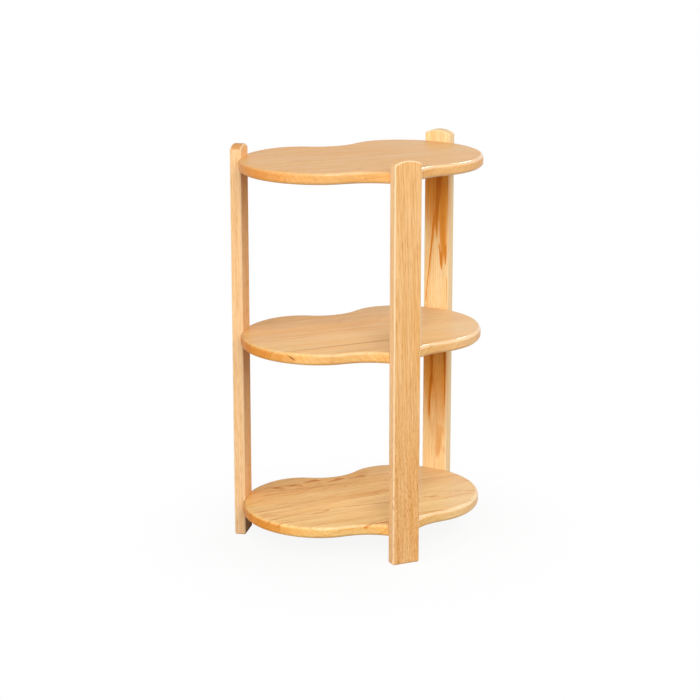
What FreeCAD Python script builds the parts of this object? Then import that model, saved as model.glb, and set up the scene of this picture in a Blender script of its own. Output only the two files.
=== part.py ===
import FreeCAD, Part
import math
import os
import Sketcher
from FreeCAD import Placement, Rotation, Vector

# Three-tier oak stand: three lobed shelves, each glued up from four boards and doweled to three board legs.
# Frame: millimetres, +Z up, the front leg towards -Y, the origin on the floor under the middle of the stand.

doc = FreeCAD.newDocument("tiered_stand")
sheet = doc.addObject("Spreadsheet::Sheet", "Sizes")

# Driving dimensions, in millimetres and degrees
SIZES = {
    "stand_height": 700,
    "leg_width": 50,
    "leg_thickness": 20,
    "leg_rounding": 3,
    "leg_crown_drop": 7,
    "foot_chamfer": 1.5,
    "shelf_thickness": 20,
    "shelf_rounding": 6,
    "bottom_shelf_top": 66,
    "leg_above_top_shelf": 21,
    # Half the outline, from the middle of the back round to the front leg, is six arcs that meet in tangents
    "waist_radius": 80,
    "waist_angle": 33,
    "back_radius": 85,
    "back_angle": 51,
    "side_radius": 145,
    "side_angle": 120,
    "front_radius": 120,
    "front_angle": 40,
    "scoop_radius": 105,
    "scoop_angle": 38,
    # A side leg's middle lies this far round the side arc from the arc's back end
    "side_leg_angle": 36.5,
    "side_seat_depth": 6,
    "front_seat_depth": 8,
    "seat_clearance": 0.2,
    # Depth of each shelf's front board at the front leg, and the wood that its back board
    # keeps between its glue line and the side legs' dowel bores
    "top_front_board_depth": 70,
    "top_glue_line_to_bores": 7,
    "middle_front_board_depth": 77,
    "middle_glue_line_to_bores": 5,
    "bottom_front_board_depth": 83,
    "bottom_glue_line_to_bores": 8,
    # The inner front board's share of the depth between those two glue lines
    "top_inner_share": 0.48,
    "middle_inner_share": 0.5,
    "bottom_inner_share": 0.53,
    "dowel_diameter": 8,
    "dowel_length": 32,
    "dowel_in_leg": 13,
    "dowel_spacing": 24,
    "dowel_chamfer": 1,
    "dowel_glue_gap": 0.1,
    "dowel_end_gap": 0.5,
    "cut_overrun": 5,
}



def add_to_sheet(values, first_row):
    for row, (alias, value) in enumerate(values.items(), start=first_row):
        sheet.set("A%d" % row, alias)
        sheet.set("B%d" % row, str(value))
        sheet.setAlias("B%d" % row, alias)
    doc.recompute()


add_to_sheet(SIZES, 1)


def size(alias):
    return float(getattr(sheet, alias))


def bind(thing, **formulas):
    """Ties properties to the sheet; a double underscore in a name stands for a dot."""
    for path, formula in formulas.items():
        thing.setExpression(path.replace("__", "."), formula)


def origin_plane(body, role):
    return next(o for o in body.Origin.OriginFeatures if o.Role == role)


def sketch_on(body, role, name):
    sketch = body.newObject("Sketcher::SketchObject", name)
    sketch.AttachmentSupport = (origin_plane(body, role), [""])
    sketch.MapMode = "FlatFace"
    return sketch


def constrain(sketch, name, formula, *definition):
    """Adds a dimension under a name and ties it to the sheet."""
    number = sketch.addConstraint(Sketcher.Constraint(*definition))
    sketch.renameConstraint(number, name)
    sketch.setExpression("Constraints." + name, formula)


# Outline of a shelf, worked out as a chain of arcs that starts at the middle of the back and heads for +X

BENDS = {"waist": "left", "back": "right", "side": "right", "front": "right", "scoop": "left"}


def outline_arcs():
    """Each arc's name, bend, centre, radius, first heading and turn; the nose closes the chain."""
    arcs = []
    x, y, heading = 0.0, 0.0, 0.0
    for name, way in BENDS.items():
        bend = 1 if way == "left" else -1
        radius = size(name + "_radius")
        turn = bend * math.radians(size(name + "_angle"))
        centre = Vector(x - bend * radius * math.sin(heading), y + bend * radius * math.cos(heading), 0)
        arcs.append((name, bend, centre, radius, heading, turn))
        heading += turn
        x = centre.x + bend * radius * math.sin(heading)
        y = centre.y - bend * radius * math.cos(heading)
    radius = -x / math.sin(heading)
    centre = Vector(0, y - radius * math.cos(heading), 0)
    arcs.append(("nose", -1, centre, radius, heading, -math.pi - heading))
    return arcs


ARCS = outline_arcs()
ARC = {arc[0]: arc for arc in ARCS}


def outward(heading):
    """The direction out of the shelf at a point of the outline with this heading."""
    return Vector(-math.sin(heading), math.cos(heading), 0)


def seat_on(arc_name, angle, depth):
    """A flat seat's middle and outward direction, this far round an arc and this deep in it."""
    _, _, centre, radius, heading, _ = ARC[arc_name]
    direction = outward(heading - math.radians(angle))
    return centre + direction * (radius - depth), direction


def leg_place(seat, direction):
    """A leg's own +Y points into the stand and its inner face lies on the seat."""
    middle = seat + direction * (size("leg_thickness") / 2)
    turn = math.degrees(math.atan2(direction.x, -direction.y))
    return Placement(middle, Rotation(Vector(0, 0, 1), turn))


def mirrored(vector):
    return Vector(-vector.x, vector.y, vector.z)


side_seat, side_way = seat_on("side", size("side_leg_angle"), size("side_seat_depth"))
front_seat, front_way = seat_on("nose", math.degrees(-ARC["nose"][5]), size("front_seat_depth"))

# The middle of the stand lies halfway between the back of the shelves and the front leg's outer face
back_edge = ARC["back"][2].y + size("back_radius")
front_face = front_seat.y - size("leg_thickness")
to_middle = Placement(Vector(0, -(back_edge + front_face) / 2, 0), Rotation())

LEG_PLACES = {
    "left": to_middle * leg_place(mirrored(side_seat), mirrored(side_way)),
    "front": to_middle * leg_place(front_seat, front_way),
    "right": to_middle * leg_place(side_seat, side_way),
}
# The corner of a side leg's dowel bores that reaches furthest forward in a shelf
bore_corner = Vector(
    size("dowel_spacing") / 2 + size("dowel_diameter") / 2 + size("dowel_glue_gap"),
    size("leg_thickness") / 2 + size("dowel_length") - size("dowel_in_leg") + size("dowel_end_gap"),
    0,
)
WORKED_OUT = {
    "front_seat_place": (to_middle.Base + front_seat).y,
    "side_bores_place": LEG_PLACES["left"].multVec(bore_corner).y,
}
add_to_sheet(WORKED_OUT, len(SIZES) + 1)

# The middle shelf lies halfway between the bottom one and the top one, which the legs overtop
SHELF_TOPS = {
    "bottom": "Sizes.bottom_shelf_top",
    "middle": "(Sizes.bottom_shelf_top + Sizes.stand_height - Sizes.leg_above_top_shelf) / 2",
    "top": "Sizes.stand_height - Sizes.leg_above_top_shelf",
}


def shelf_top(shelf):
    bottom, top = size("bottom_shelf_top"), size("stand_height") - size("leg_above_top_shelf")
    return {"bottom": bottom, "middle": (bottom + top) / 2, "top": top}[shelf]


# Shelf blank: half the outline padded to a board's thickness, mirrored and rounded over top and bottom

def ends_in_order(arc):
    """An arc is drawn counterclockwise, so one that bends right is entered at its second end."""
    bend = arc[1]
    return (1, 2) if bend > 0 else (2, 1)


def draw_half_outline(sketch):
    """Six tangent arcs and the line down the middle."""
    for name, bend, centre, radius, heading, turn in ARCS:
        begin = heading - bend * math.pi / 2
        low, high = sorted((begin, begin + turn))
        circle = Part.Circle(centre, Vector(0, 0, 1), radius)
        sketch.addGeometry(Part.ArcOfCircle(circle, low, high), False)
    nose = len(ARCS) - 1
    tip = ARCS[nose][2] - Vector(0, ARCS[nose][3], 0)
    line = sketch.addGeometry(Part.LineSegment(tip, Vector(0, 0, 0)), False)
    for number in range(nose):
        left_at = ends_in_order(ARCS[number])[1]
        entered_at = ends_in_order(ARCS[number + 1])[0]
        sketch.addConstraint(Sketcher.Constraint("Tangent", number, left_at, number + 1, entered_at))
    start = ends_in_order(ARCS[0])[0]
    finish = ends_in_order(ARCS[nose])[1]
    sketch.addConstraint(Sketcher.Constraint("Coincident", 0, start, -1, 1))
    sketch.addConstraint(Sketcher.Constraint("PointOnObject", 0, 3, -2))
    sketch.addConstraint(Sketcher.Constraint("PointOnObject", nose, 3, -2))
    sketch.addConstraint(Sketcher.Constraint("PointOnObject", nose, finish, -2))
    sketch.addConstraint(Sketcher.Constraint("Coincident", line, 1, nose, finish))
    sketch.addConstraint(Sketcher.Constraint("Coincident", line, 2, 0, start))
    for number, (name, _, _, radius, _, turn) in enumerate(ARCS[:-1]):
        constrain(sketch, name + "_radius", "Sizes.%s_radius" % name, "Radius", number, radius)
        constrain(sketch, name + "_angle", "Sizes.%s_angle" % name, "Angle", number, abs(turn))


def level_edges(shape, heights):
    """Names of the edges that lie level at one of these heights."""
    near = size("foot_chamfer") / 100
    found = []
    for number, edge in enumerate(shape.Edges, start=1):
        box = edge.BoundBox
        if any(abs(box.ZMin - z) < near and abs(box.ZMax - z) < near for z in heights):
            found.append("Edge%d" % number)
    return found


def make_blank():
    body = doc.addObject("PartDesign::Body", "shelf_blank")
    half = sketch_on(body, "XY_Plane", "half_outline")
    draw_half_outline(half)
    pad = body.newObject("PartDesign::Pad", "half_blank")
    pad.Profile = half
    bind(pad, Length="Sizes.shelf_thickness")
    doc.recompute()
    mirror = body.newObject("PartDesign::Mirrored", "whole_blank")
    mirror.Originals = [pad]
    mirror.MirrorPlane = (half, ["V_Axis"])
    mirror.Refine = True
    body.Tip = mirror
    doc.recompute()
    rounding = body.newObject("PartDesign::Fillet", "rounded_over")
    rounding.Base = (mirror, level_edges(mirror.Shape, (0, size("shelf_thickness"))))
    bind(rounding, Radius="Sizes.shelf_rounding")
    body.Tip = rounding
    body.Placement = to_middle
    doc.recompute()
    return body


def make_seat_cutter(leg, place):
    """The space of the leg's inner half, a little wider than the leg."""
    box = doc.addObject("Part::Box", leg + "_seat")
    bind(
        box,
        Length="Sizes.leg_width + 2 * Sizes.seat_clearance",
        Width="Sizes.leg_thickness",
        Height="Sizes.shelf_thickness + 2 * Sizes.cut_overrun",
    )
    corner = Vector(
        -size("leg_width") / 2 - size("seat_clearance"), -size("leg_thickness") / 2, -size("cut_overrun")
    )
    box.Placement = place * Placement(corner, Rotation())
    return box


def make_bore_cutter(leg, side, place):
    """A blind dowel bore in the shelf's edge, from just outside the seat inwards."""
    bore = doc.addObject("Part::Cylinder", "%s_bore_%s" % (leg, "left" if side < 0 else "right"))
    bind(
        bore,
        Radius="Sizes.dowel_diameter / 2 + Sizes.dowel_glue_gap",
        Height="Sizes.dowel_length - Sizes.dowel_in_leg + Sizes.dowel_end_gap + Sizes.cut_overrun",
    )
    start = Vector(
        side * size("dowel_spacing") / 2,
        size("leg_thickness") / 2 - size("cut_overrun"),
        size("shelf_thickness") / 2,
    )
    bore.Placement = place * Placement(start, Rotation(Vector(1, 0, 0), -90))
    return bore


def make_cut_blank(blank):
    """The rounded blank with the three leg seats and the six dowel bores taken out."""
    cutters = []
    for leg, place in LEG_PLACES.items():
        cutters.append(make_seat_cutter(leg, place))
        for side in (-1, 1):
            cutters.append(make_bore_cutter(leg, side, place))
    tool = doc.addObject("Part::MultiFuse", "seats_and_bores")
    tool.Shapes = cutters
    cut = doc.addObject("Part::Cut", "cut_blank")
    cut.Base = blank
    cut.Tool = tool
    doc.recompute()
    return cut


# Shelf boards: each is the strip of the cut blank between two glue lines

BOARDS = ("front_board", "inner_front_board", "inner_back_board", "back_board")


def glue_lines(shelf):
    """Formulas for the places of a shelf's three glue lines, from the front seat and the side legs' bores."""
    front = "(Sizes.front_seat_place + Sizes.%s_front_board_depth)" % shelf
    back = "(Sizes.side_bores_place - Sizes.%s_glue_line_to_bores)" % shelf
    middle = "(%s + (%s - %s) * Sizes.%s_inner_share)" % (front, back, front, shelf)
    return front, middle, back


def make_board(shelf, number, cut_blank):
    label = "%s_shelf_%s" % (shelf, BOARDS[number])
    lines = glue_lines(shelf)
    beyond = "(Sizes.side_radius + Sizes.cut_overrun) * 2"
    low = lines[number - 1] if number > 0 else "-" + beyond
    high = lines[number] if number < len(lines) else beyond
    strip = doc.addObject("Part::Box", label + "_strip")
    bind(
        strip,
        Length="2 * " + beyond,
        Width="(%s) - (%s)" % (high, low),
        Height="Sizes.shelf_thickness + 2 * Sizes.cut_overrun",
        Placement__Base__x="-" + beyond,
        Placement__Base__y=low,
        Placement__Base__z="-Sizes.cut_overrun",
    )
    board = doc.addObject("Part::Common", label)
    board.Base = cut_blank
    board.Tool = strip
    bind(board, Placement__Base__z=SHELF_TOPS[shelf] + " - Sizes.shelf_thickness")
    board.Label = label
    return board


# Legs: an upright board with an arched top, eased all round, with two dowel bores at each shelf

def draw_leg(sketch):
    half, height = size("leg_width") / 2, size("stand_height")
    shoulder = height - size("leg_crown_drop")
    radius = (half**2 + size("leg_crown_drop") ** 2) / (2 * size("leg_crown_drop"))
    reach = math.asin(half / radius)
    foot = sketch.addGeometry(Part.LineSegment(Vector(-half, 0, 0), Vector(half, 0, 0)), False)
    right = sketch.addGeometry(Part.LineSegment(Vector(half, 0, 0), Vector(half, shoulder, 0)), False)
    circle = Part.Circle(Vector(0, height - radius, 0), Vector(0, 0, 1), radius)
    crown = sketch.addGeometry(Part.ArcOfCircle(circle, math.pi / 2 - reach, math.pi / 2 + reach), False)
    left = sketch.addGeometry(Part.LineSegment(Vector(-half, shoulder, 0), Vector(-half, 0, 0)), False)
    for edge, following in ((foot, right), (right, crown), (crown, left), (left, foot)):
        sketch.addConstraint(Sketcher.Constraint("Coincident", edge, 2, following, 1))
    sketch.addConstraint(Sketcher.Constraint("PointOnObject", foot, 1, -1))
    sketch.addConstraint(Sketcher.Constraint("Vertical", right))
    sketch.addConstraint(Sketcher.Constraint("Vertical", left))
    sketch.addConstraint(Sketcher.Constraint("Symmetric", foot, 1, foot, 2, -1, 1))
    constrain(sketch, "width", "Sizes.leg_width", "Distance", foot, 2 * half)
    constrain(sketch, "shoulder", "Sizes.stand_height - Sizes.leg_crown_drop", "Distance", right, shoulder)
    arc_radius = "(Sizes.leg_width ^ 2 / 4 + Sizes.leg_crown_drop ^ 2) / (2 * Sizes.leg_crown_drop)"
    constrain(sketch, "crown_radius", arc_radius, "Radius", crown, radius)


def draw_leg_bores(sketch):
    """Two circles at the middle of each shelf's thickness."""
    radius = size("dowel_diameter") / 2 + size("dowel_glue_gap")
    for shelf, top in SHELF_TOPS.items():
        height = shelf_top(shelf) - size("shelf_thickness") / 2
        for side, name in ((-1, shelf + "_left"), (1, shelf + "_right")):
            across = size("dowel_spacing") / 2
            circle = sketch.addGeometry(
                Part.Circle(Vector(side * across, height, 0), Vector(0, 0, 1), radius), False
            )
            ends = (circle, 3, -1, 1) if side < 0 else (-1, 1, circle, 3)
            constrain(sketch, name + "_across", "Sizes.dowel_spacing / 2", "DistanceX", *ends, across)
            centre = top + " - Sizes.shelf_thickness / 2"
            constrain(sketch, name + "_height", centre, "DistanceY", -1, 1, circle, 3, height)
            bore = "Sizes.dowel_diameter / 2 + Sizes.dowel_glue_gap"
            constrain(sketch, name + "_radius", bore, "Radius", circle, radius)


def make_leg(leg, place):
    label = leg + "_leg"
    body = doc.addObject("PartDesign::Body", label)
    body.Label = label
    profile = sketch_on(body, "XZ_Plane", label + "_profile")
    draw_leg(profile)
    pad = body.newObject("PartDesign::Pad", label + "_board")
    pad.Profile = profile
    pad.SideType = "Symmetric"
    bind(pad, Length="Sizes.leg_thickness")
    doc.recompute()
    eased = body.newObject("PartDesign::Fillet", label + "_eased")
    feet = level_edges(pad.Shape, (0,))
    every = ["Edge%d" % (n + 1) for n in range(len(pad.Shape.Edges))]
    eased.Base = (pad, [name for name in every if name not in feet])
    bind(eased, Radius="Sizes.leg_rounding")
    doc.recompute()
    foot = body.newObject("PartDesign::Chamfer", label + "_foot")
    foot.Base = (eased, level_edges(eased.Shape, (0,)))
    bind(foot, Size="Sizes.foot_chamfer")
    doc.recompute()
    solid = foot.Shape.Volume
    bores = sketch_on(body, "XZ_Plane", label + "_bores")
    draw_leg_bores(bores)
    bind(bores, AttachmentOffset__Base__z="-Sizes.leg_thickness / 2")
    pocket = body.newObject("PartDesign::Pocket", label + "_bored")
    pocket.Profile = bores
    pocket.Reversed = True
    bind(pocket, Length="Sizes.dowel_in_leg + Sizes.dowel_end_gap")
    body.Tip = pocket
    body.Placement = place
    doc.recompute()
    if not pocket.Shape.Volume < solid:
        raise RuntimeError(label + ": the dowel bores cut nothing")
    return body


# Dowels: fluted hardwood pegs are left plain, with a chamfer at each end

def make_dowel(name, place):
    body = doc.addObject("PartDesign::Body", name)
    end = sketch_on(body, "XY_Plane", name + "_end")
    circle = end.addGeometry(Part.Circle(Vector(0, 0, 0), Vector(0, 0, 1), size("dowel_diameter") / 2), False)
    end.addConstraint(Sketcher.Constraint("Coincident", circle, 3, -1, 1))
    constrain(end, "radius", "Sizes.dowel_diameter / 2", "Radius", circle, size("dowel_diameter") / 2)
    pad = body.newObject("PartDesign::Pad", name + "_peg")
    pad.Profile = end
    bind(pad, Length="Sizes.dowel_length")
    doc.recompute()
    chamfer = body.newObject("PartDesign::Chamfer", name + "_chamfer")
    chamfer.Base = (pad, level_edges(pad.Shape, (0, size("dowel_length"))))
    bind(chamfer, Size="Sizes.dowel_chamfer")
    body.Tip = chamfer
    body.Placement = place
    return body


def make_dowels(shelf, leg, place):
    """The pair of pegs that joins one leg to one shelf, as one node of two solids."""
    pair = []
    for side, name in ((-1, "left"), (1, "right")):
        start = Vector(
            side * size("dowel_spacing") / 2,
            size("leg_thickness") / 2 - size("dowel_in_leg"),
            shelf_top(shelf) - size("shelf_thickness") / 2,
        )
        peg_place = place * Placement(start, Rotation(Vector(1, 0, 0), -90))
        pair.append(make_dowel("%s_%s_dowel_%s" % (shelf, leg, name), peg_place))
    dowels = doc.addObject("Part::Compound", "%s_%s_dowels" % (shelf, leg))
    dowels.Links = pair
    dowels.Label = "%s_%s_dowels" % (shelf, leg)
    return dowels


nodes = []
cut_blank = make_cut_blank(make_blank())
for shelf in SHELF_TOPS:
    for number in range(len(BOARDS)):
        nodes.append(make_board(shelf, number, cut_blank))
for leg, place in LEG_PLACES.items():
    nodes.append(make_leg(leg, place))
    for shelf in SHELF_TOPS:
        nodes.append(make_dowels(shelf, leg, place))
doc.recompute()

for thing in doc.Objects:
    if "Invalid" in thing.State or "Error" in thing.State:
        raise RuntimeError("%s failed: %s" % (thing.Label, thing.State))
for node in nodes:
    if node.Shape.isNull() or not node.Shape.isValid():
        raise RuntimeError("%s has no valid shape" % node.Label)

os.makedirs("parts", exist_ok=True)
for node in nodes:
    node.Shape.exportStep("parts/%s.step" % node.Label)
    box = node.Shape.BoundBox
    print("%-34s solids %d, volume %9.0f, z %6.1f to %6.1f" % (
        node.Label, len(node.Shape.Solids), node.Shape.Volume, box.ZMin, box.ZMax))
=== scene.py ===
import bpy
import math
from mathutils import Euler, Matrix, Vector


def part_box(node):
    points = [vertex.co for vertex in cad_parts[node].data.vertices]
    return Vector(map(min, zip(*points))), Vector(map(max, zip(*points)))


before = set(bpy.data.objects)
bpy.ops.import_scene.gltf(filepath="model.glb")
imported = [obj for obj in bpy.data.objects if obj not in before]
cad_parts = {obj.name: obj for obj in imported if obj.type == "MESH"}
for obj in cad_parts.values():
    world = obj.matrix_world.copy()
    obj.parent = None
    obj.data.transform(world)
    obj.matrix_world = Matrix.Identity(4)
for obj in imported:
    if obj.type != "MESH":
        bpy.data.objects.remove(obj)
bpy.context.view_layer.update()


# Legs: three oak boards, 50 by 20 mm, planed, arched at the top and sanded round on every arris.
# Each stands in flat seats in the shelves' edges, held by two glued dowels at each shelf, and is
# finished with the rest of the stand in a clear golden lacquer.

def new_group(name, inputs, outputs):
    """A node group: inputs have a default each, which gives their kind, and outputs a kind."""
    kinds = {1: "NodeSocketFloat", 3: "NodeSocketVector", 4: "NodeSocketColor"}
    tree = bpy.data.node_groups.new(name, "ShaderNodeTree")
    for title, default in inputs.items():
        kind = kinds[len(default) if isinstance(default, tuple) else 1]
        socket = tree.interface.new_socket(title, in_out="INPUT", socket_type=kind)
        socket.default_value = default
    for title, kind in outputs.items():
        tree.interface.new_socket(title, in_out="OUTPUT", socket_type="NodeSocket" + kind)
    return tree, tree.nodes.new("NodeGroupInput").outputs, tree.nodes.new("NodeGroupOutput").inputs


def add(tree, kind, feeds=None, **settings):
    """Adds a node with these settings; feeds names its inputs, each with a value or a socket."""
    node = tree.nodes.new(kind)
    for key, value in settings.items():
        setattr(node, key, value)
    for key, value in (feeds or {}).items():
        if isinstance(value, bpy.types.NodeSocket):
            tree.links.new(value, node.inputs[key])
        else:
            node.inputs[key].default_value = value
    return node


def maths(tree, operation, *values):
    """One sum on numbers, each a value or a socket."""
    node = add(tree, "ShaderNodeMath", dict(enumerate(values)), operation=operation)
    return node.outputs[0]


def vectors(tree, operation, *values):
    """One sum on vectors or colours. It gives a vector, or a number where it asks for a length."""
    node = add(tree, "ShaderNodeVectorMath", dict(enumerate(values)), operation=operation)
    return node.outputs["Value" if operation == "LENGTH" else "Vector"]


def rise(tree, value, low, high):
    """0 below low, 1 above high, and smooth between them; low above high turns it round."""
    feeds = {"Value": value, "From Min": low, "From Max": high}
    return add(tree, "ShaderNodeMapRange", feeds, interpolation_type="SMOOTHSTEP").outputs["Result"]


def tint(tree, mask, under, over, mode="MIX"):
    """The colour under, mixed with the colour over or multiplied by it, as far as the mask says."""
    node = add(tree, "ShaderNodeMix", {0: mask, 6: under, 7: over}, data_type="RGBA", blend_type=mode)
    return node.outputs[2]


def parts(tree, vector):
    """The vector's X, Y and Z."""
    return add(tree, "ShaderNodeSeparateXYZ", {0: vector}).outputs


def object_place(tree):
    """Place on the stand, in metres from the floor under its middle."""
    return add(tree, "ShaderNodeTexCoord").outputs["Object"]


def streaks(tree, vector, seed, along, across, detail=2.0):
    """Noise drawn out along the grain: along and across are its patches per metre."""
    stretched = vectors(tree, "MULTIPLY", vector, (along, across, across))
    moved = vectors(tree, "ADD", stretched, seed)
    return add(tree, "ShaderNodeTexNoise", {"Vector": moved, "Scale": 1.0, "Detail": detail})


def sawn_colour(red, green, blue):
    """A colour as it is seen on the finished wood, 0 to 255, as the light that the shader takes."""
    def linear(part):
        # The usual curve of a screen's colours
        share = part / 255
        return share / 12.92 if share <= 0.04045 else ((share + 0.055) / 1.055) ** 2.4
    return linear(red), linear(green), linear(blue), 1.0


def growth_rings_group():
    """Year rings round the pith of the log, which a board cuts: lines, arches or straight grain."""
    tree, given, result = new_group(
        "growth rings",
        {"Vector": (0.0, 0.0, 0.0), "Seed": 0.0, "Pith Across": 0.0, "Pith Depth": -0.08,
         "Taper": 0.03, "Ring Width": 0.003, "Waviness": 0.006},
        {"Early Wood": "Float", "Year Tone": "Float", "Band": "Float", "Vein": "Float"},
    )
    # The grain strays from a straight line by up to half the waviness
    wander = streaks(tree, given["Vector"], given["Seed"], along=3.0, across=9.0, detail=1.0)
    wander = vectors(tree, "SUBTRACT", wander.outputs["Color"], (0.5, 0.5, 0.5))
    wander = vectors(tree, "MULTIPLY", wander, given["Waviness"])
    place = parts(tree, vectors(tree, "ADD", given["Vector"], wander))
    across = maths(tree, "SUBTRACT", place[1], given["Pith Across"])
    lean = maths(tree, "MULTIPLY", place[0], given["Taper"])
    depth = maths(tree, "SUBTRACT", maths(tree, "SUBTRACT", place[2], given["Pith Depth"]), lean)
    square = maths(tree, "MULTIPLY", across, across)
    radius = maths(tree, "SQRT", maths(tree, "MULTIPLY_ADD", depth, depth, square))
    # Lean and good years follow each other over about three rings
    years = maths(tree, "DIVIDE", radius, given["Ring Width"])
    uneven = maths(tree, "MULTIPLY_ADD", years, 0.31, given["Seed"])
    uneven = add(tree, "ShaderNodeTexNoise", {"W": uneven, "Scale": 1.0}, noise_dimensions="1D")
    years = maths(tree, "MULTIPLY_ADD", uneven.outputs[0], 2.2, years)
    # A year's early wood starts sharply and turns slowly to late wood
    season = maths(tree, "FRACT", years)
    spring = rise(tree, season, 0.86, 1.0)
    summer = rise(tree, season, 0.4, 0.02)
    early = maths(tree, "MAXIMUM", spring, summer)
    tree.links.new(early, result["Early Wood"])
    # Each year has its own tone, which changes where its early wood starts
    year = maths(tree, "FLOOR", maths(tree, "ADD", years, 0.14))
    tone = add(tree, "ShaderNodeTexWhiteNoise", {"W": year}, noise_dimensions="1D").outputs["Value"]
    tree.links.new(tone, result["Year Tone"])
    # Bands of years, about 20 mm wide
    band = maths(tree, "MULTIPLY_ADD", radius, 55.0, given["Seed"])
    feeds = {"W": band, "Scale": 1.0, "Detail": 1.0}
    band = add(tree, "ShaderNodeTexNoise", feeds, noise_dimensions="1D").outputs[0]
    tree.links.new(rise(tree, band, 0.32, 0.68), result["Band"])
    # A few years darker than the rest, which wander along the board as thin lines
    slow = streaks(tree, given["Vector"], given["Seed"], along=1.7, across=10.0, detail=1.0)
    slow = parts(tree, slow.outputs["Color"])[1]
    line = maths(tree, "FRACT", maths(tree, "MULTIPLY", slow, 9.0))
    line = maths(tree, "ABSOLUTE", maths(tree, "SUBTRACT", line, 0.5))
    tree.links.new(rise(tree, line, 0.07, 0.01), result["Vein"])
    return tree


def pores_group():
    """Open pores of the early wood: dashes along the grain, which show as dots on a cut end."""
    tree, given, result = new_group(
        "pores",
        {"Vector": (0.0, 0.0, 0.0), "Seed": 0.0, "Early Wood": 1.0},
        {"Pore": "Float", "Fibre": "Float"},
    )
    dashes = streaks(tree, given["Vector"], given["Seed"], along=60.0, across=820.0, detail=0.0)
    dashes = rise(tree, dashes.outputs[0], 0.5, 0.72)
    # They are fainter in late wood
    crowding = maths(tree, "MULTIPLY_ADD", given["Early Wood"], 0.6, 0.4)
    tree.links.new(maths(tree, "MULTIPLY", dashes, crowding), result["Pore"])
    fibre = streaks(tree, given["Vector"], given["Seed"], along=16.0, across=520.0).outputs[0]
    tree.links.new(rise(tree, fibre, 0.32, 0.68), result["Fibre"])
    return tree


def cut_faces_group():
    """How the surface cuts the board: across the grain, on an edge, on a sanded arris, or below.

    Facing is the surface's normal, turned into the board: X along the grain, Z out of its face.
    """
    tree, given, result = new_group(
        "cut faces",
        {"Facing": (0.0, 0.0, 1.0)},
        {"End": "Float", "Edge": "Float", "Arris": "Float", "Under": "Float"},
    )
    facing = parts(tree, vectors(tree, "ABSOLUTE", given["Facing"]))
    signed = parts(tree, given["Facing"])
    tree.links.new(rise(tree, facing[0], 0.55, 0.98), result["End"])
    tree.links.new(rise(tree, facing[2], 0.7, 0.2), result["Edge"])
    # The arris across the grain at the board's end on the -X side is left out: it is as dark as the end
    # itself and takes no painted highlight
    arris = maths(tree, "MULTIPLY", rise(tree, facing[2], 0.2, 0.5), rise(tree, facing[2], 0.995, 0.9))
    arris = maths(tree, "MULTIPLY", arris, rise(tree, signed[0], -0.55, -0.15))
    tree.links.new(arris, result["Arris"])
    tree.links.new(rise(tree, signed[2], -0.1, -0.4), result["Under"])
    return tree


def heart_streak_group():
    """A dark tongue along the grain, from its root to its tip, with ragged sides. A narrow one is
    heartwood, and a broad one painted shade.
    """
    tree, given, result = new_group(
        "heart and shade streak",
        {"Vector": (0.0, 0.0, 0.0), "Seed": 0.0, "Root": (0.0, 0.0, 0.0), "Tip": (0.1, 0.0, 0.0),
         "Half Width": 0.005},
        {"Mask": "Float"},
    )
    # Its sides stray by up to a quarter of its width, 4 mm at most, and its ends by up to 25 mm
    ragged = streaks(tree, given["Vector"], given["Seed"], along=14.0, across=240.0).outputs["Color"]
    ragged = vectors(tree, "SUBTRACT", ragged, (0.5, 0.5, 0.5))
    aside = maths(tree, "MINIMUM", maths(tree, "MULTIPLY", given["Half Width"], 0.9), 0.008)
    reach = add(tree, "ShaderNodeCombineXYZ", {"X": 0.05, "Y": aside}).outputs[0]
    ragged = vectors(tree, "MULTIPLY", ragged, reach)
    place = parts(tree, vectors(tree, "ADD", given["Vector"], ragged))
    root = parts(tree, given["Root"])
    tip = parts(tree, given["Tip"])
    length = maths(tree, "SUBTRACT", tip[0], root[0])
    share = maths(tree, "DIVIDE", maths(tree, "SUBTRACT", place[0], root[0]), length)
    # It narrows to nothing at its tip, on both sides of the line from root to tip
    middle = maths(tree, "MULTIPLY_ADD", maths(tree, "SUBTRACT", tip[1], root[1]), share, root[1])
    ahead = maths(tree, "MAXIMUM", maths(tree, "SUBTRACT", 1.0, share), 0.001)
    half = maths(tree, "MULTIPLY", given["Half Width"], maths(tree, "POWER", ahead, 0.6))
    aside = maths(tree, "ABSOLUTE", maths(tree, "SUBTRACT", place[1], middle))
    mask = rise(tree, maths(tree, "DIVIDE", aside, half), 1.3, 0.35)
    mask = maths(tree, "MULTIPLY", mask, rise(tree, share, -0.08, 0.06))
    # A broad streak fades away before its tip
    fades = maths(tree, "MULTIPLY_ADD", given["Half Width"], -18.0, 1.0)
    fades = maths(tree, "MAXIMUM", fades, 0.35)
    mask = maths(tree, "MULTIPLY", mask, rise(tree, share, 1.0, fades))
    tree.links.new(mask, result["Mask"])
    return tree


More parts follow.
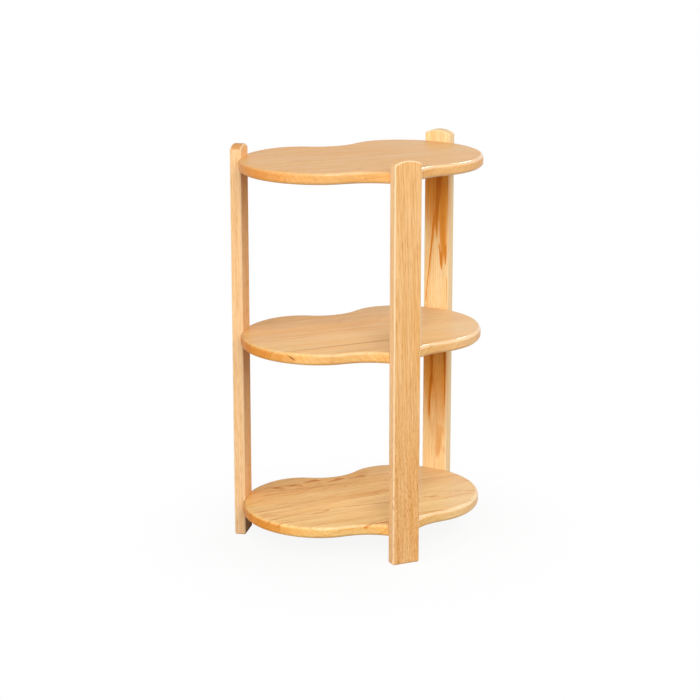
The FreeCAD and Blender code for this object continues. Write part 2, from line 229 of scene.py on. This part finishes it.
def oak_group():
    """Lacquered oak as a solid, so that faces, edges and ends of a board agree."""
    tree, given, result = new_group(
        "lacquered oak",
        {"Vector": (0.0, 0.0, 0.0), "Facing": (0.0, 0.0, 1.0), "Seed": 0.0, "Pith Across": 0.0,
         "Pith Depth": -0.08, "Taper": 0.03, "Ring Width": 0.003, "Waviness": 0.006, "Figure": 0.6,
         "Veins": 0.3, "Pores": 0.6, "Fibres": 0.55, "Heart": 0.0, "Heart Rim": AMBER, "Edge Soak": 0.0,
         "End Soak": 0.6, "Edge Light": 0.0, "Arris Highlight": 0.5, "Coat": 0.1, "Arris Coat": 0.3,
         "Late Wood": (0.8, 0.5, 0.25, 1.0), "Early Wood": (0.5, 0.3, 0.1, 1.0)},
        {"Color": "Color", "Roughness": "Float", "Height": "Float", "Coat Weight": "Float"},
    )
    rings = add(tree, "ShaderNodeGroup", node_tree=bpy.data.node_groups["growth rings"])
    for title in ("Vector", "Seed", "Pith Across", "Pith Depth", "Taper", "Ring Width", "Waviness"):
        tree.links.new(given[title], rings.inputs[title])
    early = rings.outputs["Early Wood"]
    pores = add(tree, "ShaderNodeGroup", node_tree=bpy.data.node_groups["pores"])
    tree.links.new(given["Vector"], pores.inputs["Vector"])
    tree.links.new(given["Seed"], pores.inputs["Seed"])
    tree.links.new(early, pores.inputs["Early Wood"])
    cut = add(tree, "ShaderNodeGroup", node_tree=bpy.data.node_groups["cut faces"])
    tree.links.new(given["Facing"], cut.inputs["Facing"])
    # Late wood drifts between straw and peach, and darker bands of years run through it
    patches = streaks(tree, given["Vector"], given["Seed"], along=5.0, across=38.0).outputs[0]
    colour = tint(tree, rise(tree, patches, 0.35, 0.65), given["Late Wood"], PEACH, "MULTIPLY")
    depth = maths(tree, "MULTIPLY", rings.outputs["Band"], 0.45)
    colour = tint(tree, maths(tree, "MULTIPLY", depth, given["Figure"]), colour, given["Early Wood"])
    strength = maths(tree, "MULTIPLY_ADD", rings.outputs["Year Tone"], 0.75, 0.25)
    strength = maths(tree, "MULTIPLY", maths(tree, "MULTIPLY", strength, early), given["Figure"])
    colour = tint(tree, strength, colour, given["Early Wood"])
    vein = maths(tree, "MULTIPLY", rings.outputs["Vein"], given["Veins"])
    colour = tint(tree, vein, colour, VEIN, "MULTIPLY")
    # A streak takes its rim's colour first and darkens inwards: heartwood, and in the right leg painted
    # shade too
    colour = tint(tree, rise(tree, given["Heart"], 0.0, 0.5), colour, given["Heart Rim"], "MULTIPLY")
    colour = tint(tree, rise(tree, given["Heart"], 0.5, 1.0), colour, HEART_AND_SHADE, "MULTIPLY")
    fibre = maths(tree, "MULTIPLY", pores.outputs["Fibre"], given["Fibres"])
    colour = tint(tree, fibre, colour, FIBRE, "MULTIPLY")
    shown = maths(tree, "MULTIPLY", pores.outputs["Pore"], given["Pores"])
    colour = tint(tree, shown, colour, PORE, "MULTIPLY")
    # Where the edges soak up lacquer, the roundings that face down are darkened with them, as painted
    # shade under the board, and have no coat
    under_shade_reach = maths(tree, "MULTIPLY", given["Edge Soak"], 2.5)
    under = maths(tree, "MULTIPLY", cut.outputs["Under"], under_shade_reach)
    under = maths(tree, "MINIMUM", under, 1.0)
    above = maths(tree, "SUBTRACT", 1.0, under)
    # Edges and ends are darker, for they soak up more. The other sanded arrises get a painted highlight
    # and gather a coat of lacquer
    arris = maths(tree, "MULTIPLY", cut.outputs["Arris"], above)
    # Soaked edges, and painted shade on the roundings that face down
    edge = maths(tree, "MAXIMUM", cut.outputs["Edge"], under)
    soak = maths(tree, "MULTIPLY", edge, given["Edge Soak"])
    colour = tint(tree, soak, colour, SOAK_AND_UNDER_SHADE, "MULTIPLY")
    soak = maths(tree, "MULTIPLY", cut.outputs["End"], given["End Soak"])
    colour = tint(tree, soak, colour, ENDS, "MULTIPLY")
    # Painted light on the legs' narrow faces, and a painted highlight along the arrises
    pale = maths(tree, "MULTIPLY", cut.outputs["Edge"], given["Edge Light"])
    pale = maths(tree, "MAXIMUM", pale, maths(tree, "MULTIPLY", arris, given["Arris Highlight"]))
    colour = tint(tree, pale, colour, PAINTED_HIGHLIGHT)
    tree.links.new(colour, result["Color"])
    coat = maths(tree, "MULTIPLY_ADD", arris, given["Arris Coat"], given["Coat"])
    tree.links.new(maths(tree, "MULTIPLY", coat, above), result["Coat Weight"])
    # Gloss changes from patch to patch, and the pores are dull hollows
    matt = maths(tree, "MULTIPLY_ADD", patches, 0.16, 0.26)
    tree.links.new(maths(tree, "MULTIPLY_ADD", shown, 0.14, matt), result["Roughness"])
    height = maths(tree, "MULTIPLY_ADD", pores.outputs["Fibre"], 0.12, 0.6)
    height = maths(tree, "MULTIPLY_ADD", early, -0.1, height)
    tree.links.new(maths(tree, "MULTIPLY_ADD", shown, -0.5, height), result["Height"])
    return tree


PEACH = sawn_colour(255, 247, 234)
FIBRE = sawn_colour(242, 228, 208)
VEIN = sawn_colour(225, 180, 128)
AMBER = sawn_colour(240, 188, 108)
# Dark core of the heartwood streaks, and of the painted shade under the shelves in the right leg
HEART_AND_SHADE = sawn_colour(204, 148, 104)
PORE = sawn_colour(226, 194, 150)
SOAK_AND_UNDER_SHADE = sawn_colour(252, 232, 196)
ENDS = sawn_colour(236, 188, 106)
# Cream of the painted highlight along arrises and of the painted light on narrow faces
PAINTED_HIGHLIGHT = sawn_colour(252, 222, 180)
for make_group in (growth_rings_group, pores_group, cut_faces_group, heart_streak_group, oak_group):
    make_group()


def new_material(name):
    """A material and its node tree, which holds the plain shader that it starts with."""
    material = bpy.data.materials.new(name)
    material.use_nodes = True
    return material, material.node_tree


def oak(name, middle, turned, gloss, heart_and_shade_streaks, heart_face, **grain):
    """Material of one board: its own place in the log, turned so that X runs along the grain."""
    material, tree = new_material(name)
    facing = add(tree, "ShaderNodeNewGeometry").outputs["Normal"]
    feeds = {"Vector": object_place(tree), "Location": middle, "Rotation": turned}
    in_board = add(tree, "ShaderNodeMapping", feeds, vector_type="TEXTURE").outputs[0]
    feeds = {"Vector": facing, "Rotation": turned}
    on_board = add(tree, "ShaderNodeMapping", feeds, vector_type="TEXTURE").outputs[0]
    # Dark streaks: heartwood, and in the right leg broad streaks of painted shade
    heart = 0.0
    for root, tip, half_width, strength in heart_and_shade_streaks:
        feeds = {"Vector": in_board, "Seed": grain["Seed"], "Root": (*root, 0), "Tip": (*tip, 0),
                 "Half Width": half_width}
        streak = add(tree, "ShaderNodeGroup", feeds, node_tree=bpy.data.node_groups["heart and shade streak"])
        heart = maths(tree, "MAXIMUM", heart, maths(tree, "MULTIPLY", streak.outputs["Mask"], strength))
    if heart_and_shade_streaks:
        # The streaks lie near one face, the board's upper or outer (1), or its lower or inner (-1)
        depth = maths(tree, "MULTIPLY", parts(tree, in_board)[2], heart_face)
        heart = maths(tree, "MULTIPLY", heart, rise(tree, depth, 0.001, 0.006))
    feeds = {"Vector": in_board, "Facing": on_board, "Heart": heart, **grain}
    wood = add(tree, "ShaderNodeGroup", feeds, node_tree=bpy.data.node_groups["lacquered oak"])
    feeds = {"Height": wood.outputs["Height"], "Strength": 0.3, "Distance": 0.0002}
    bump = add(tree, "ShaderNodeBump", feeds)
    shader = tree.nodes["Principled BSDF"]
    tree.links.new(wood.outputs["Color"], shader.inputs["Base Color"])
    tree.links.new(wood.outputs["Roughness"], shader.inputs["Roughness"])
    tree.links.new(bump.outputs["Normal"], shader.inputs["Normal"])
    tree.links.new(wood.outputs["Coat Weight"], shader.inputs["Coat Weight"])
    shader.inputs["Specular IOR Level"].default_value = gloss
    shader.inputs["Coat Roughness"].default_value = 0.1
    return material


def change_colour(material, mask, colour, how="MULTIPLY"):
    """Multiplies the wood's colour by this one, or mixes this one in, as far as the mask says."""
    tree = material.node_tree
    base = tree.nodes["Principled BSDF"].inputs["Base Color"]
    tree.links.new(tint(tree, mask, base.links[0].from_socket, colour, how), base)


def centre_of(node):
    """Middle of a CAD node's box, in metres."""
    low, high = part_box(node)
    return (low + high) / 2


def upright(outward):
    """Turn of a board that stands on end, with its outer face this way."""
    along = Vector((0, 0, 1))
    return Matrix((along, outward.cross(along), outward)).transposed().to_euler()


# Sheen of the lacquer on the flat faces, and the face of a leg that its heartwood lies near
LEG_GLOSS = 0.0
INNER_FACE = -1
# The outward face's heading about Z, how far the grain leans in that face, both in degrees, and how
# the board was sawn from the log
LEGS = {
    "front_leg": (-90.0, 2.0, {
        "Seed": 3.1, "Pith Across": 0.11, "Pith Depth": -0.05, "Taper": 0.004, "Ring Width": 0.003,
        "Waviness": 0.002, "Figure": 0.6, "Veins": 0.05, "Pores": 0.6, "Fibres": 1.0, "End Soak": 0.25,
        "Edge Light": 0.35, "Arris Highlight": 0.8, "Coat": 0.05,
        "Late Wood": sawn_colour(250, 206, 149), "Early Wood": sawn_colour(239, 182, 113)}),
    "left_leg": (144.5, 0.0, {
        "Seed": 8.3, "Pith Across": 0.07, "Pith Depth": -0.03, "Taper": 0.004, "Ring Width": 0.003,
        "Waviness": 0.004, "Figure": 0.35, "Veins": 0.1, "Pores": 0.8, "Fibres": 0.7, "End Soak": 0.8,
        "Edge Light": 0.15, "Arris Highlight": 0.65, "Coat": 0.03,
        "Late Wood": sawn_colour(244, 206, 159), "Early Wood": sawn_colour(230, 182, 124)}),
    "right_leg": (35.5, 0.0, {
        "Seed": 5.2, "Pith Across": 0.05, "Pith Depth": -0.04, "Taper": 0.012, "Ring Width": 0.0042,
        "Waviness": 0.008, "Figure": 0.4, "Veins": 0.2, "Pores": 0.4, "Fibres": 0.6, "End Soak": 0.17,
        "Edge Light": 0.5, "Coat": 0.0,
        "Late Wood": sawn_colour(250, 226, 178), "Early Wood": sawn_colour(241, 199, 132)}),
}
# Heartwood in the right leg, with painted shade: the two broad streaks that start just below the top
# and the middle shelf and fade downwards paint the shade under those shelves. Each streak's root and
# tip, both above the floor and across the face, its half width and its strength
HEARTS_AND_SHADE = (
    ((0.668, 0.003), (0.44, 0.006), 0.06, 0.42),
    ((0.668, 0.006), (0.49, -0.001), 0.0115, 0.77),
    ((0.55, -0.003), (0.375, -0.021), 0.0034, 0.65),
    ((0.61, 0.013), (0.44, 0.0135), 0.015, 0.5),
    ((0.486, 0.009), (0.446, 0.0125), 0.0055, 0.72),
    ((0.50, 0.0185), (0.456, 0.0195), 0.0035, 0.65),
    ((0.43, 0.0222), (0.36, 0.0225), 0.0014, 0.4),
    ((0.362, 0.003), (0.07, 0.003), 0.06, 0.4),
    ((0.362, -0.002), (0.15, -0.0125), 0.0085, 0.78),
    ((0.362, 0.017), (0.18, 0.022), 0.0055, 0.78),
    ((0.150, 0.014), (0.085, 0.005), 0.014, 0.26),
)
for leg, (heading, lean, grain) in LEGS.items():
    outward = Vector((math.cos(math.radians(heading)), math.sin(math.radians(heading)), 0))
    turned = Matrix.Rotation(math.radians(lean), 3, outward) @ upright(outward).to_matrix()
    middle = centre_of(leg)
    heart_and_shade_streaks = [((root[0] - middle.z, root[1]), (tip[0] - middle.z, tip[1]), half_width, strength)
              for root, tip, half_width, strength in HEARTS_AND_SHADE if leg == "right_leg"]
    wood = oak(leg + "_oak", middle, turned.to_euler(), LEG_GLOSS, heart_and_shade_streaks, INNER_FACE, **grain)
    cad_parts[leg].material_slots[0].material = wood

# The front leg shows more dark pores towards its foot: how dark they are, and the heights above the
# floor where they begin and where all show
FOOT_PORES = 0.65
FOOT_PORES_FROM, FOOT_PORES_FULL = 0.4, 0.1
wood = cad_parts["front_leg"].material_slots[0].material
tree = wood.node_tree
height = parts(tree, object_place(tree))[2]
feeds = {"Vector": object_place(tree), "Rotation": (0, math.radians(90), 0)}
upended = add(tree, "ShaderNodeMapping", feeds).outputs[0]
dashes = streaks(tree, upended, (4.0, 7.0, 2.0), along=120.0, across=1100.0, detail=0.0)
dashes = rise(tree, dashes.outputs[0], 0.5, 0.7)
dashes = maths(tree, "MULTIPLY", dashes, rise(tree, height, FOOT_PORES_FROM, FOOT_PORES_FULL))
change_colour(wood, maths(tree, "MULTIPLY", dashes, FOOT_PORES), PORE)


# Shelves: three alike, each glued up from four oak boards that run along the stand's width, cut to
# one lobed outline and rounded over all round. The boards come from different logs, so their grain
# doesn't match at the glue lines.

SHELF_COLOURS = {
    "top": {"Late Wood": sawn_colour(244, 194, 128), "Early Wood": sawn_colour(230, 168, 99)},
    "middle": {"Late Wood": sawn_colour(244, 206, 146), "Early Wood": sawn_colour(222, 161, 92)},
    "bottom": {"Late Wood": sawn_colour(244, 210, 147), "Early Wood": sawn_colour(219, 157, 85)},
}
SAWN = {
    "top": {"Taper": 0.008, "Ring Width": 0.0045, "Waviness": 0.006, "Figure": 0.5, "Veins": 0.2,
            "Pores": 0.4, "Edge Soak": 0.2, "End Soak": 0.6, "Arris Highlight": 0.3, "Coat": 0.08,
            "Arris Coat": 0.9},
    "middle": {"Taper": 0.008, "Ring Width": 0.0045, "Waviness": 0.006, "Figure": 0.4, "Veins": 0.15,
               "Pores": 0.4, "Edge Soak": 0.55, "End Soak": 0.85, "Arris Highlight": 0.3, "Coat": 0.05,
               "Arris Coat": 0.85},
    "bottom": {"Taper": 0.02, "Ring Width": 0.0036, "Waviness": 0.012, "Figure": 0.35, "Veins": 0.3,
               "Pores": 0.5, "Heart Rim": sawn_colour(228, 184, 116), "Edge Soak": 0.6, "End Soak": 0.85,
               "Arris Highlight": 0.3, "Coat": 0.06, "Arris Coat": 0.75},
}
# Sheen of the lacquer on the flat faces, and the face of a board that its dark lines lie near
SHELF_GLOSS = 0.04
UPPER_FACE = 1
# Painted light and sheen towards the boards' right ends, a pale colour mixed in: its colour, how
# much of it each shelf has, and how far from the stand's middle it begins and is full
RIGHT_END_LIGHT = sawn_colour(250, 222, 185)
RIGHT_END_LIGHT_SHARE = {"top": 0.15, "middle": 0.3, "bottom": 0.3}
RIGHT_END_LIGHT_FROM, RIGHT_END_LIGHT_FULL = 0.02, 0.16
# Painted shade and painted reflection on the rounding along the back: its colour, and how much of
# it each shelf has
BACK_RIM_SHADE = sawn_colour(210, 204, 208)
BACK_RIM_SHADE_SHARE = {"top": 0.3, "middle": 1.0, "bottom": 1.0}
# Each board's seed, the pith's place across the board and below it, its turn in degrees, and its
# red, green and blue beside those of the shelf's colours. On the middle and bottom shelves these
# lighten the front boards and darken the back ones: painted light and shade from the shelf above,
# over a little of each board's own tone.
BOARDS = {
    "top_shelf_front_board": (11.0, 0.09, -0.03, 0.4, (1.0, 1.0, 1.0)),
    "top_shelf_inner_front_board": (12.5, -0.1, -0.03, -0.5, (1.0, 1.0, 1.0)),
    "top_shelf_inner_back_board": (13.2, 0.12, -0.05, 0.8, (1.0, 1.0, 1.0)),
    "top_shelf_back_board": (14.9, -0.07, -0.05, 0.3, (1.0, 1.0, 1.0)),
    "middle_shelf_front_board": (21.3, 0.1, -0.04, 1.0, (1.07, 1.07, 1.07)),
    "middle_shelf_inner_front_board": (22.8, -0.08, -0.03, -0.7, (1.04, 1.06, 1.08)),
    "middle_shelf_inner_back_board": (23.6, 0.11, -0.03, 0.5, (0.99, 0.95, 0.92)),
    "middle_shelf_back_board": (24.1, -0.1, -0.05, -0.4, (0.95, 0.9, 0.86)),
    "bottom_shelf_front_board": (31.7, 0.06, -0.06, 1.5, (1.11, 1.13, 1.16)),
    "bottom_shelf_inner_front_board": (32.2, 0.02, -0.1, 2.0, (1.08, 1.08, 1.08)),
    "bottom_shelf_inner_back_board": (33.9, -0.03, -0.12, 1.0, (1.0, 0.93, 0.84)),
    "bottom_shelf_back_board": (34.4, 0.01, -0.08, -1.0, (0.98, 0.87, 0.73)),
}
# Dark lines in the bottom shelf's boards, and arch tips in its back board: each one's root and tip
# in the stand's frame, its half width and its strength
STREAKS = {
    "bottom_shelf_back_board": (
        ((-0.112, 0.112), (-0.138, 0.124), 0.008, 0.62), ((-0.082, 0.111), (-0.106, 0.122), 0.009, 0.66),
        ((-0.040, 0.127), (-0.074, 0.122), 0.006, 0.6), ((0.006, 0.118), (-0.032, 0.110), 0.007, 0.55),
        ((0.046, 0.117), (0.012, 0.110), 0.006, 0.45), ((-0.15, 0.085), (0.02, 0.094), 0.002, 0.5),
        ((-0.13, 0.100), (0.09, 0.078), 0.0018, 0.45)),
    "bottom_shelf_inner_back_board": (
        ((-0.21, 0.012), (-0.03, 0.034), 0.002, 0.34), ((0.1, 0.02), (-0.08, 0.030), 0.002, 0.38),
        ((0.2, 0.045), (0.05, 0.052), 0.002, 0.35)),
    "bottom_shelf_inner_front_board": (
        ((-0.215, -0.034), (-0.1, -0.012), 0.0024, 0.35), ((0.06, -0.040), (-0.13, -0.014), 0.0024, 0.38),
        ((-0.085, -0.027), (-0.12, -0.035), 0.006, 0.34), ((-0.205, -0.050), (-0.1, -0.058), 0.0024, 0.28),
        ((0.125, -0.045), (0.09, -0.037), 0.005, 0.45), ((0.2, -0.047), (0.15, -0.030), 0.002, 0.6),
        ((0.185, -0.055), (0.12, -0.0605), 0.002, 0.5)),
    "bottom_shelf_front_board": (
        ((0.0, -0.127), (-0.09, -0.120), 0.0026, 0.6), ((0.095, -0.114), (0.04, -0.108), 0.002, 0.55),
        ((-0.14, -0.085), (0.02, -0.095), 0.002, 0.3)),
}
for node, (seed, across, depth, degrees, tone_and_shade) in BOARDS.items():
    middle = centre_of(node)
    shelf = node.split("_")[0]
    # The board's own tone, with painted light and shade on the lower shelves
    colours = {title: (*(min(part * share, 1.0) for part, share in zip(colour, tone_and_shade)), 1.0)
               for title, colour in SHELF_COLOURS[shelf].items()}
    turned = Euler((0, 0, math.radians(degrees)))
    heart_and_shade_streaks = [(Vector(root) - middle.xy, Vector(tip) - middle.xy, half_width, strength)
              for root, tip, half_width, strength in STREAKS.get(node, ())]
    grain = {"Seed": seed, "Pith Across": across, "Pith Depth": depth, **colours, **SAWN[shelf]}
    wood = oak(node + "_oak", middle, turned, SHELF_GLOSS, heart_and_shade_streaks, UPPER_FACE, **grain)
    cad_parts[node].material_slots[0].material = wood
    tree = wood.node_tree
    # Painted light and sheen, paler towards the shelf's right end
    right = rise(tree, parts(tree, object_place(tree))[0], RIGHT_END_LIGHT_FROM, RIGHT_END_LIGHT_FULL)
    change_colour(wood, maths(tree, "MULTIPLY", right, RIGHT_END_LIGHT_SHARE[shelf]), RIGHT_END_LIGHT, "MIX")
    # Painted shade on the upper part of the back rounding, where it faces up and backwards
    facing = parts(tree, add(tree, "ShaderNodeNewGeometry").outputs["Normal"])
    back = maths(tree, "MULTIPLY", rise(tree, facing[1], 0.02, 0.14), rise(tree, facing[2], 0.6, 0.9))
    change_colour(wood, maths(tree, "MULTIPLY", back, BACK_RIM_SHADE_SHARE[shelf]), BACK_RIM_SHADE)

# The middle shelf's front glue line has taken up dark glue. It shows on the shelf's top alone, is
# darkest at the stand's middle and ends a little to the right of that. Each pair is where it is gone
# and where it is full: away from the joint, to the left, to the right, and below the shelf's top.
GLUE = sawn_colour(172, 112, 50)
GLUE_STRENGTH = 0.9
GLUE_SIDES = (0.0021, 0.0006)
GLUE_LEFT = (-0.3, 0.0)
GLUE_RIGHT = (0.06, 0.02)
GLUE_DEPTHS = (0.0015, 0.0005)
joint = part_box("middle_shelf_front_board")[1].y
for node in ("middle_shelf_front_board", "middle_shelf_inner_front_board"):
    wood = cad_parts[node].material_slots[0].material
    tree = wood.node_tree
    place = parts(tree, object_place(tree))
    aside = maths(tree, "ABSOLUTE", maths(tree, "SUBTRACT", place[1], joint))
    below_top = maths(tree, "SUBTRACT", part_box(node)[1].z, place[2])
    line = maths(tree, "MULTIPLY", rise(tree, aside, *GLUE_SIDES), rise(tree, place[0], *GLUE_RIGHT))
    line = maths(tree, "MULTIPLY", line, rise(tree, place[0], *GLUE_LEFT))
    line = maths(tree, "MULTIPLY", line, rise(tree, below_top, *GLUE_DEPTHS))
    change_colour(wood, maths(tree, "MULTIPLY", line, GLUE_STRENGTH), GLUE)

# A dark bruise in the same shelf's front board, on its edge at the left: a long mark that slopes
# down towards the front. Its ends set its place and slope, and its size is half its length, breadth
# and depth.
BRUISE_ENDS = (Vector((-0.1795, -0.0746, 0.368)), Vector((-0.1694, -0.0851, 0.3599)))
BRUISE_SIZE = (0.008, 0.0022, 0.0015)
BRUISE = sawn_colour(125, 85, 45)
BRUISE_STRENGTH = 0.8
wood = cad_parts["middle_shelf_front_board"].material_slots[0].material
tree = wood.node_tree
start, end = BRUISE_ENDS
feeds = {"Vector": object_place(tree), "Location": (start + end) / 2, "Scale": BRUISE_SIZE,
         "Rotation": (end - start).to_track_quat("X", "Z").to_euler()}
place = add(tree, "ShaderNodeMapping", feeds, vector_type="TEXTURE").outputs[0]
mark = rise(tree, vectors(tree, "LENGTH", place), 1.1, 0.5)
change_colour(wood, maths(tree, "MULTIPLY", mark, BRUISE_STRENGTH), BRUISE)


# Dowels: two beech pegs, 8 mm across, in each joint between a leg and a shelf, bare wood with glue
# round it. Nothing of them shows on the finished stand.

def beech(name, heading):
    """Pale pink-brown wood with short dark flecks along the peg."""
    material, tree = new_material(name)
    feeds = {"Vector": object_place(tree), "Rotation": (0, 0, math.radians(heading))}
    in_peg = add(tree, "ShaderNodeMapping", feeds, vector_type="TEXTURE").outputs[0]
    fleck = streaks(tree, in_peg, (1.0, 1.0, 1.0), along=300.0, across=2500.0, detail=0.0)
    fleck = rise(tree, fleck.outputs[0], 0.58, 0.7)
    cloud = streaks(tree, in_peg, (2.0, 2.0, 2.0), along=40.0, across=300.0).outputs[0]
    colour = tint(tree, cloud, BEECH_PALE, BEECH_WARM)
    colour = tint(tree, maths(tree, "MULTIPLY", fleck, 0.5), colour, BEECH_FLECK)
    bump = add(tree, "ShaderNodeBump", {"Height": fleck, "Strength": 0.2, "Distance": 0.0001})
    shader = tree.nodes["Principled BSDF"]
    tree.links.new(colour, shader.inputs["Base Color"])
    tree.links.new(maths(tree, "MULTIPLY_ADD", fleck, 0.1, 0.6), shader.inputs["Roughness"])
    tree.links.new(bump.outputs["Normal"], shader.inputs["Normal"])
    return material


BEECH_PALE = sawn_colour(226, 190, 150)
BEECH_WARM = sawn_colour(212, 170, 128)
BEECH_FLECK = sawn_colour(150, 105, 70)
for leg in LEGS:
    side = leg.split("_")[0]
    heading = LEGS[leg][0]
    wood = beech(side + "_dowel_beech", heading)
    for shelf in SAWN:
        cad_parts["%s_%s_dowels" % (shelf, side)].material_slots[0].material = wood


# Floor: a wide sheet of matt white paper under the stand. It stays white to the camera and in
# reflections, keeps the stand's soft shadow, and throws little light back up at it.

def seen_as_background(tree):
    """1 for a ray from the camera, straight, mirrored or through glass, and 0 for any other."""
    path = add(tree, "ShaderNodeLightPath").outputs
    seen = maths(tree, "MAXIMUM", path["Is Camera Ray"], path["Is Glossy Ray"])
    return maths(tree, "MAXIMUM", seen, path["Is Transmission Ray"])


PAPER = (0.9, 0.9, 0.9, 1.0)
PAPER_BOUNCE = (0.35, 0.35, 0.35, 1.0)
WHITE = (1.0, 1.0, 1.0, 1.0)
# How white the floor is at least, whatever shadow falls on it, and how far from the stand's middle
# its shadow begins to fade and is gone
LEAST_WHITE = 0.9
SHADOW_FADES, SHADOW_GONE = 0.15, 0.5
bpy.ops.object.select_all(action="DESELECT")
bpy.ops.mesh.primitive_plane_add(size=14.0, location=(0, 0, 0))
floor = bpy.context.object
floor.name = "floor"
floor_white, tree = new_material("floor_white")
tree.nodes.remove(tree.nodes["Principled BSDF"])
seen = seen_as_background(tree)
shade = tint(tree, seen, PAPER_BOUNCE, PAPER)
matt = add(tree, "ShaderNodeBsdfDiffuse", {"Color": shade})
glow = add(tree, "ShaderNodeEmission", {"Color": WHITE, "Strength": 1.0})
far = rise(tree, vectors(tree, "LENGTH", object_place(tree)), SHADOW_FADES, SHADOW_GONE)
white = maths(tree, "MULTIPLY_ADD", far, 1 - LEAST_WHITE, LEAST_WHITE)
lift = maths(tree, "MULTIPLY", seen, white)
both = add(tree, "ShaderNodeMixShader", {0: lift, 1: matt.outputs[0], 2: glow.outputs[0]})
tree.links.new(both.outputs[0], tree.nodes["Material Output"].inputs["Surface"])
floor.data.materials.append(floor_white)


# Studio: a dim white room with five large soft lamps, the strongest of them in front, and a smaller
# one behind on the right, which draws the highlights along the shelves' rounded edges.

world = bpy.data.worlds.new("studio")
bpy.context.scene.world = world
world.use_nodes = True
tree = world.node_tree
room = tree.nodes["Background"]
room.inputs["Color"].default_value = WHITE
room.inputs["Strength"].default_value = 0.06
backdrop = add(tree, "ShaderNodeBackground", {"Color": WHITE, "Strength": 1.0})
feeds = {0: seen_as_background(tree), 1: room.outputs[0], 2: backdrop.outputs[0]}
both = add(tree, "ShaderNodeMixShader", feeds)
tree.links.new(both.outputs[0], tree.nodes["World Output"].inputs["Surface"])


def aim(thing, target):
    """Turns a lamp or a camera towards a point."""
    thing.rotation_euler = (Vector(target) - thing.location).to_track_quat("-Z", "Y").to_euler()


STAND_MIDDLE = (0.0, 0.0, 0.36)
# Each lamp's heading and height in degrees, seen from the stand, its distance, width and watts
LAMPS = {
    "front_lamp": (-102, 31, 6.0, 4.0, 206),
    "left_front_lamp": (-150, 28, 6.0, 4.0, 155),
    "left_lamp": (180, 12, 6.0, 4.0, 122),
    "right_front_lamp": (-33, 31, 6.0, 6.0, 165),
    "right_lamp": (0, 14, 6.0, 3.0, 38),
    "back_lamp": (42, 38, 5.0, 0.8, 42),
}
for name, (heading, height, distance, width, watts) in LAMPS.items():
    way = Euler((0, -math.radians(height), math.radians(heading))).to_matrix() @ Vector((distance, 0, 0))
    bpy.ops.object.light_add(type="AREA", location=Vector(STAND_MIDDLE) + way)
    lamp = bpy.context.object
    lamp.name = name
    lamp.data.size = width
    lamp.data.energy = watts
    aim(lamp, STAND_MIDDLE)


# Camera: in front of the stand, to the left of its middle and above it, where the photograph was
# taken. Its small shift stands for the photograph's crop.

VIEW_CENTRE = (-0.0607, -0.0639, 0.4232)
bpy.ops.object.camera_add(location=(-1.4507, -3.1592, 1.2817))
camera = bpy.context.object
camera.name = "camera"
camera.data.lens = 106.11
camera.data.sensor_width = 36.0
camera.data.shift_y = -0.05
aim(camera, VIEW_CENTRE)
bpy.context.scene.camera = camera
bpy.context.scene.view_settings.view_transform = "Standard"
